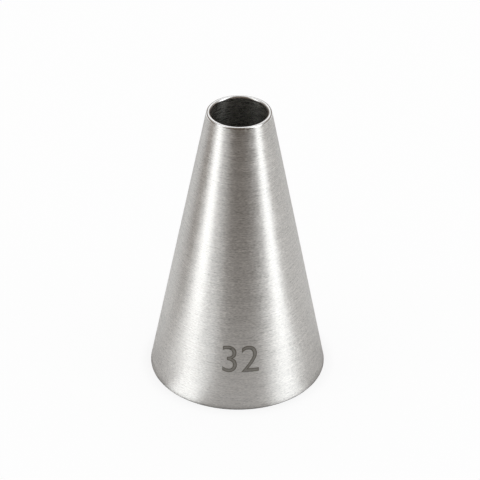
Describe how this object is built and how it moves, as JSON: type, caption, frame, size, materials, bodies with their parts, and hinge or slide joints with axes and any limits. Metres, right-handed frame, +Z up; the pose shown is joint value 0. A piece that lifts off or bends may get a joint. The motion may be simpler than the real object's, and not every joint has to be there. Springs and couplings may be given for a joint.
{
  "type": "piping nozzle",
  "caption": "Seamless conical nozzle with a plain round mouth and a full-round lip, open at both ends, for piping icing, cream or dough from a pastry bag.",
  "frame": {"origin": "centre of the base, in the plane that the nozzle stands on", "axes": "+Z up the axis of the cone, from the base to the mouth; the size number faces -Y"},
  "size_m": [0.032, 0.032, 0.053],
  "materials": {
    "stainless": "satin stainless, brushed round the axis outside, with a polished lip"
  },
  "bodies": {
    "root": {"nozzle_cone": "stainless"}
  },
  "joints": []
}
